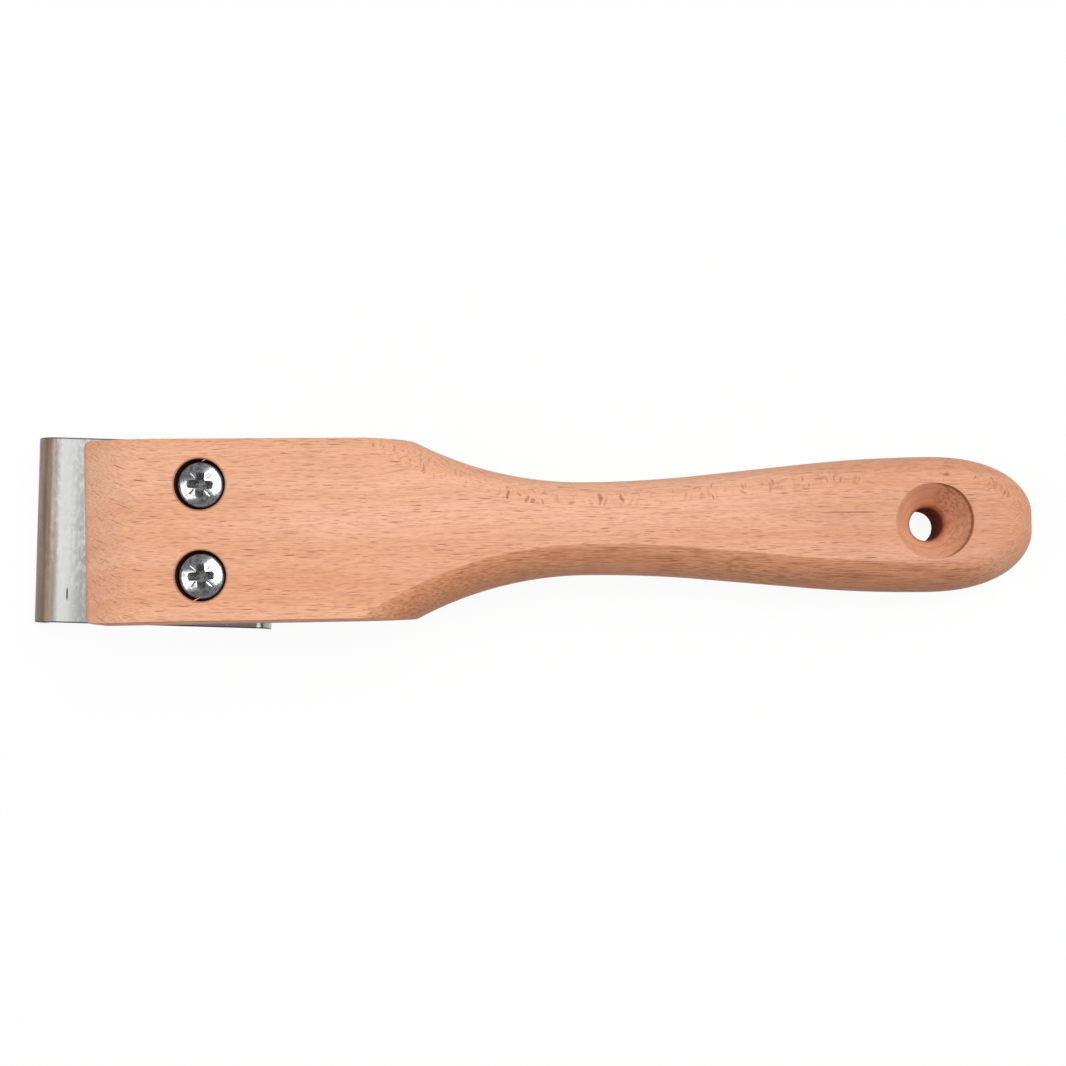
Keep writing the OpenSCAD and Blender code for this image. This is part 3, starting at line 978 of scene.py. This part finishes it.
def beech_finish(colours, size):
    """Steamed beech, cut true from one block: soft growth rings, fibres and ray flecks."""
    finish = Finish("oiled_beech")
    along, across, height = finish.split(finish.place)
    drifted = finish.wander(finish.place, (20, 45, 45), (0, 2.4 * MM, 2.4 * MM), detail=1.0)
    grain = finish.add("Mapping", {"Vector": drifted, "Rotation": (RAY_TILT, 0, 0)}).outputs[0]
    from_hole = finish.from_axis(CENTRE)
    dish = from_hole.step(0.52 * size.dish_d, 0.49 * size.dish_d)
    outside = 1.0 - dish
    facing = finish.faces((0, -math.cos(RAY_TILT), math.sin(RAY_TILT)))
    broadside = abs(facing).step(0.4, 0.1)
    before_tip = along.step(22 * MM, 4 * MM)
    # South-facing faces: more flecks and lines of the flat-sawn grain, and, in the stains below, a
    # painted shade that fades out before the tip
    flat_sawn_and_shade = facing.step(0.6, 0.95) * outside * before_tip
    # Growth rings
    rings = finish.noise((5, 250, 14), place=grain)
    cloud = finish.noise((14, 40, 40), detail=1.0)
    late = (0.6 * rings + 0.4 * cloud).step(0.36, 0.64)
    wood = finish.mix(late, colours.beech_pale, colours.beech_warm)
    # Flecks, fibres, marks of the cutter and painted shade in the dish
    strong = ray_flecks(finish, grain, (5.5 * MM, 4 * MM, 0.45 * MM), (0.32, 0.5, 0.13), 1.6)
    faint = ray_flecks(finish, grain, (3.2 * MM, 3 * MM, 0.3 * MM), (0.32, 0.5, 0.15), 1.2)
    flecks = strong * (0.95 + 0.5 * flat_sawn_and_shade - 0.6 * broadside) + 0.65 * faint
    figure = silver_figure(finish, grain) * broadside
    fibres = finish.noise((380, 3800, 3800), place=grain)
    threads = finish.noise((70, 3300, 3300), detail=1.0, place=grain)
    lines = threads.step(0.47, 0.64) * (0.2 + 0.26 * flat_sawn_and_shade)
    lines = lines + 0.24 * fibres.step(0.46, 0.66)
    marks = (finish.most(flecks, figure, mineral_streak(finish, drifted)) + lines).held()
    cut_with_grain = finish.faces((0.4, -0.9, 0)).step(0.2, 0.8) * dish
    marks = marks * (1.0 - 0.85 * cut_with_grain)
    marks = finish.most(marks, dish * cutter_marks_and_shade(finish, from_hole, size.dish_d / 2))
    wood = finish.mix(marks, wood, colours.beech_ray_and_shade)
    # Stains where the hand holds it, at the nose and towards the sapwood, and painted shade on the
    # south-facing side
    handled = 0.25 * along.step(-130 * MM, -85 * MM)
    handled = handled + 0.75 * along.step(-65 * MM, 10 * MM)
    nose = along.step(-204 * MM, -217 * MM)
    sapward = across.step(-4 * MM, -18 * MM) * along.step(-125 * MM, -150 * MM)
    for share, tint in (
            (handled * outside, (0.88, 0.84, 0.83)), (flat_sawn_and_shade, (0.86, 0.75, 0.63)),
            (nose, (0.92, 0.955, 0.985)), (sapward, (0.98, 0.94, 0.9))):
        wood = finish.mix(share, wood, finish.vector("MULTIPLY", wood, tint))
    burn_and_shade = drill_burn_and_shade(finish, height, size.counterbore_d / 2)
    scorch = bore_scorch(finish, from_hole, height)
    # Counterbore walls: drill browning and painted shade
    wood = finish.mix(burn_and_shade, wood, colours.beech_burnt_and_shaded)
    wood = finish.mix(0.9 * scorch, wood, colours.beech_scorched)
    finish.shade({
        "Base Color": wood,
        "Roughness": (0.46 + 0.16 * fibres + 0.5 * finish.most(burn_and_shade, scorch)).held(),
        "Specular IOR Level": 0.25,
    })
    finish.bump(0.5 * fibres - marks, 0.05 * MM, 0.5)
    return finish.material


def sheet_finish(colours, size):
    """Zinc-coated sheet: mottled, with painted shade towards one long edge, a painted brownish
    reflection on the bend above the lip, bare where ground, and bare where sheared with painted
    shade along those edges.
    """
    finish = Finish("coated_sheet")
    along, across, height = finish.split(finish.place)
    half_w = size.width / 2
    lip_x = -size.lip_reach
    bevel_z = size.bevel_h - size.lip_drop
    mottle = finish.noise((900, 450, 900), detail=4.0, roughness=0.7)
    streaks = finish.noise((900, 40, 300))
    tone = 0.75 * mottle + 0.25 * streaks
    # Painted shade: the coat darkens towards the sheet's long edge at -y, standing in for a dimmer
    # reflection there
    painted_side_shade = across.step(half_w / 2, -half_w)
    dulled_and_shaded = (0.8 * tone.step(0.38, 0.6) + 0.62 * painted_side_shade).held()
    # A band 6 to 14 mm behind the lip where less of the dull colour is mixed in, so it shows
    # lighter
    lighter_band = along.step(lip_x + 6 * MM, lip_x + 8 * MM)
    lighter_band = lighter_band * along.step(lip_x + 14 * MM, lip_x + 9 * MM)
    # Painted reflection: a brownish band on the bend above the lip, where the sheet is given less
    # metal
    bend_reflection = along.step(lip_x + 7.6 * MM, lip_x + 4.4 * MM)
    bend_reflection = bend_reflection * (0.7 + 0.4 * streaks).held()
    # Sheared edges: raw steel, with painted shade along both long edges
    sheared = abs(across).step(half_w - 0.5 * MM, half_w - 0.2 * MM)
    off = finish.vector("SUBTRACT", finish.place, scratch_place(size))
    scratch = finish.vector("LENGTH", finish.vector("DIVIDE", off, SCRATCH_HALF))
    scratch = scratch.step(1.0, 0.7)
    ground = height.step(bevel_z + 0.1 * MM, bevel_z)
    coat = finish.mix(dulled_and_shaded * (1.0 - 0.7 * lighter_band), colours.sheet_bright, colours.sheet_dull_and_shaded)
    coat = finish.mix(bend_reflection, coat, colours.sheet_bend_reflection)
    coat = finish.mix(finish.most(sheared, scratch), coat, colours.sheet_raw_steel_and_shade)
    coat = finish.mix(ground, coat, colours.ground_steel)
    finish.shade({
        "Base Color": coat,
        "Metallic": (1.0 - 0.6 * bend_reflection).held(),
        "Roughness": 0.24 + 0.16 * mottle,
        "Specular IOR Level": 0.2,
    })
    finish.bump(tone, 0.02 * MM, 0.3)
    return finish.material


def zinc_finish(colours, size):
    """Bright zinc plate with a soft cloudiness, and old oil down in the recess."""
    finish = Finish("zinc_plate")
    _, _, height = finish.split(finish.place)
    away = finish.from_axis(CENTRE)
    head_r = size.head_d / 2
    cloud = finish.noise((800, 800, 800), detail=5.0, roughness=0.65)
    brush = finish.noise((1800, 1800, 1800))
    inside = away.step(0.56 * size.recess_span, 0.5 * size.recess_span)
    deep = height.step(size.head_h - 0.55 * MM, size.head_h - 1.1 * MM)
    above = height.step(0.0, 0.5 * MM)
    grime = inside * deep * above * (0.55 + 0.45 * brush.step(0.4, 0.6))
    specks = 0.55 * brush.step(0.5, 0.66)
    rim = above * away.step(head_r - 0.6 * MM, head_r - 0.3 * MM)
    plate = finish.mix(cloud.step(0.35, 0.7), colours.zinc_bright, colours.zinc_dull)
    plate = finish.mix(finish.most(grime, specks), plate, colours.zinc_grime)
    finish.shade({
        "Base Color": plate,
        "Metallic": 0.8 - 0.2 * grime,
        "Roughness": 0.1 + 0.16 * cloud + 0.12 * grime + 0.35 * rim,
    })
    finish.bump(brush, 0.02 * MM, 0.4)
    return finish.material


def fit_both_sides(model, name, body, node, height=0.0, turns=None):
    """Put a zinc-plated copy of a model on each screw's axis, and put the model away."""
    scene = bpy.context.scene
    zinc = bpy.data.materials.get("zinc_plate")
    zinc = zinc or zinc_finish(scene.scraper_finish, scene.scraper_fasteners)
    for side in SIDES:
        piece = new_object(f"{side}_{name}", model.data.copy())
        turn = math.radians(turns[side]) if turns else 0.0
        place = Matrix.Translation(SCREW_AXES[side] + Vector((0, 0, height)))
        piece.matrix_world = place @ Matrix.Rotation(turn, 4, "Z")
        dress(piece, zinc, "zinc", f"{side}_{body}", f"{side}_{node}")
    bpy.data.objects.remove(model)


class SCRAPER_OT_handle(bpy.types.Operator):
    """Build the beech handle"""

    bl_idname = "scraper.handle"
    bl_label = "Beech Handle"

    def execute(self, context):
        size = context.scene.scraper_handle
        handle = clean_mesh("beech_handle", *HandleForm(size).blank())
        for side in SIDES:
            carve(handle, screw_hole_tool(size, side))
        carve(handle, hang_hole_tool(size))
        for side in SIDES:
            carve(handle, rim_splinter(side), "UNION")
        smooth(handle, SOFT_CREASE)
        wood = beech_finish(context.scene.scraper_finish, size)
        dress(handle, wood, "beech", "handle", "handle")
        return {"FINISHED"}


class SCRAPER_OT_blade(bpy.types.Operator):
    """Build the hooked blade"""

    bl_idname = "scraper.blade"
    bl_label = "Hooked Blade"

    def execute(self, context):
        size = context.scene.scraper_blade
        blade = clean_mesh("hooked_blade", *blade_shell(size))
        for side in SIDES:
            carve(blade, blade_hole_tool(size, side))
        carve(blade, scratch_tool(size))
        smooth(blade, CRISP_CREASE)
        place = Matrix.Translation((SCREW_X, size.shift, 0))
        blade.matrix_world = place @ Matrix.Rotation(-size.skew, 4, "Z")
        sheet = sheet_finish(context.scene.scraper_finish, size)
        dress(blade, sheet, "blade_steel", "blade", "blade")
        return {"FINISHED"}


class SCRAPER_OT_screws(bpy.types.Operator):
    """Build the two pan-head screws"""

    bl_idname = "scraper.screws"
    bl_label = "Pan-Head Screws"

    def execute(self, context):
        size = context.scene.scraper_fasteners
        screw = screw_body(size)
        carve_recess(screw, size)
        smooth(screw, CRISP_CREASE)
        seat_z = SCREW_HIGH.z - size.head_h
        fit_both_sides(screw, "pan_screw", "screw", "screw", seat_z, SCREW_TURNS)
        return {"FINISHED"}


class SCRAPER_OT_nuts(bpy.types.Operator):
    """Build the nuts and their washers"""

    bl_idname = "scraper.nuts"
    bl_label = "Nuts and Washers"

    def execute(self, context):
        size = context.scene.scraper_fasteners
        washer, nut = washer_ring(size), nut_block(size)
        for model, name, node in ((washer, "flat_washer", "washer"), (nut, "hex_nut", "nut")):
            smooth(model, SOFT_CREASE)
            fit_both_sides(model, name, "nut", node)
        return {"FINISHED"}


def soft_light(name, target, direction, distance, width, depth, power):
    """A rectangular soft light that faces the target."""
    data = bpy.data.lights.new(name, "AREA")
    data.shape = "RECTANGLE"
    data.size = width
    data.size_y = depth
    data.energy = power
    light = new_object(name, data)
    aim = Vector(direction).normalized()
    light.location = target + distance * aim
    light.rotation_euler = aim.to_track_quat("Z", "Y").to_euler()
    light.visible_camera = False


def floor_finish():
    """Plain floor, white to the camera and in reflections, where it keeps a soft shadow."""
    finish = Finish("floor")
    nodes = finish.tree.nodes
    nodes.remove(finish.shader)
    glow_share = 0.93
    paths = finish.add("LightPath").outputs
    seen = finish.math("ADD", paths["Is Camera Ray"], paths["Is Glossy Ray"])
    seen = (seen + paths["Is Transmission Ray"]).held()
    paper = finish.add("BsdfDiffuse", {"Color": (0.95, 0.95, 0.95, 1)})
    white = finish.add("Emission", {"Color": (1, 1, 1, 1), "Strength": 1.0})
    dull = finish.add("BsdfDiffuse", {"Color": (0.62, 0.61, 0.6, 1)})
    bright = finish.add("MixShader", {0: glow_share, 1: paper.outputs[0], 2: white.outputs[0]})
    blend = finish.add("MixShader", {0: seen, 1: dull.outputs[0], 2: bright.outputs[0]})
    finish.put(nodes["Material Output"].inputs["Surface"], blend.outputs[0])
    return finish.material


class SCRAPER_OT_stage(bpy.types.Operator):
    """Set up the floor, lights, room and camera"""

    bl_idname = "scraper.stage"
    bl_label = "Studio"

    def execute(self, context):
        scene = context.scene
        setup = scene.scraper_stage
        scene.view_settings.view_transform = "Standard"
        self.lay_floor()
        middle = Vector((setup.camera_x, 0, HANDLE_HIGH.z))
        soft_light("key light", middle, *KEY_LIGHT, setup.key_power)
        soft_light("side light", middle, *SIDE_LIGHT, setup.side_power)
        world = bpy.data.worlds.new("room")
        world.use_nodes = True
        room = world.node_tree.nodes["Background"]
        room.inputs["Color"].default_value = (1, 1, 1, 1)
        room.inputs["Strength"].default_value = setup.room_level
        scene.world = world
        lens = bpy.data.cameras.new("camera")
        lens.lens = setup.lens
        lens.shift_x = setup.shift_x
        lens.shift_y = setup.shift_y
        lens.clip_start = 10 * MM
        camera = new_object("camera", lens)
        camera.location = (setup.camera_x, setup.camera_y, setup.camera_z)
        camera.rotation_euler.z = setup.camera_roll
        scene.camera = camera
        return {"FINISHED"}

    def lay_floor(self):
        """Floor under the scraper's lip and tail, swept up to a low wall all round."""
        lip = Vector((BLADE_LOW.x, 0, BLADE_LOW.z))
        tail = Vector((HANDLE_HIGH.x, 0, HANDLE_LOW.z))
        profile = quarter(FLOOR_R, SWEEP_R, SWEEP_R, -90, steps=12)
        profile.append((FLOOR_R + SWEEP_R, WALL_H))
        floor = turned("floor", profile, lid=False)
        rise = math.atan2(tail.z - lip.z, tail.x - lip.x)
        floor.matrix_world = Matrix.Translation(lip) @ Matrix.Rotation(-rise, 4, "Y")
        floor.data.materials.append(floor_finish())


class SCRAPER_PT_panel(bpy.types.Panel):
    """Panel that lists the pieces and their sizes."""

    bl_label = "Cabinet Scraper"
    bl_idname = "SCRAPER_PT_panel"
    bl_space_type = "VIEW_3D"
    bl_region_type = "UI"
    bl_category = "Scraper"

    def draw(self, context):
        for operator in OPERATORS:
            self.layout.operator(operator.bl_idname)
        for name, group in GROUPS.items():
            box = self.layout.box()
            box.label(text=group.__doc__)
            for field in group.__annotations__:
                box.prop(getattr(context.scene, name), field)


GROUPS = {
    "scraper_handle": HandleSizes,
    "scraper_blade": BladeSizes,
    "scraper_fasteners": FastenerSizes,
    "scraper_finish": FinishColours,
    "scraper_stage": StageSetup,
}
OPERATORS = (
    SCRAPER_OT_stage,
    SCRAPER_OT_handle,
    SCRAPER_OT_blade,
    SCRAPER_OT_screws,
    SCRAPER_OT_nuts,
)


def register():
    for name, group in GROUPS.items():
        bpy.utils.register_class(group)
        setattr(bpy.types.Scene, name, bpy.props.PointerProperty(type=group))
    for operator in OPERATORS:
        bpy.utils.register_class(operator)
    bpy.utils.register_class(SCRAPER_PT_panel)


def unregister():
    bpy.utils.unregister_class(SCRAPER_PT_panel)
    for operator in reversed(OPERATORS):
        bpy.utils.unregister_class(operator)
    for name, group in GROUPS.items():
        delattr(bpy.types.Scene, name)
        bpy.utils.unregister_class(group)


def main():
    """Build every piece in order."""
    register()
    bpy.ops.scraper.stage()
    bpy.ops.scraper.handle()
    bpy.ops.scraper.blade()
    bpy.ops.scraper.screws()
    bpy.ops.scraper.nuts()


if __name__ == "__main__":
    main()
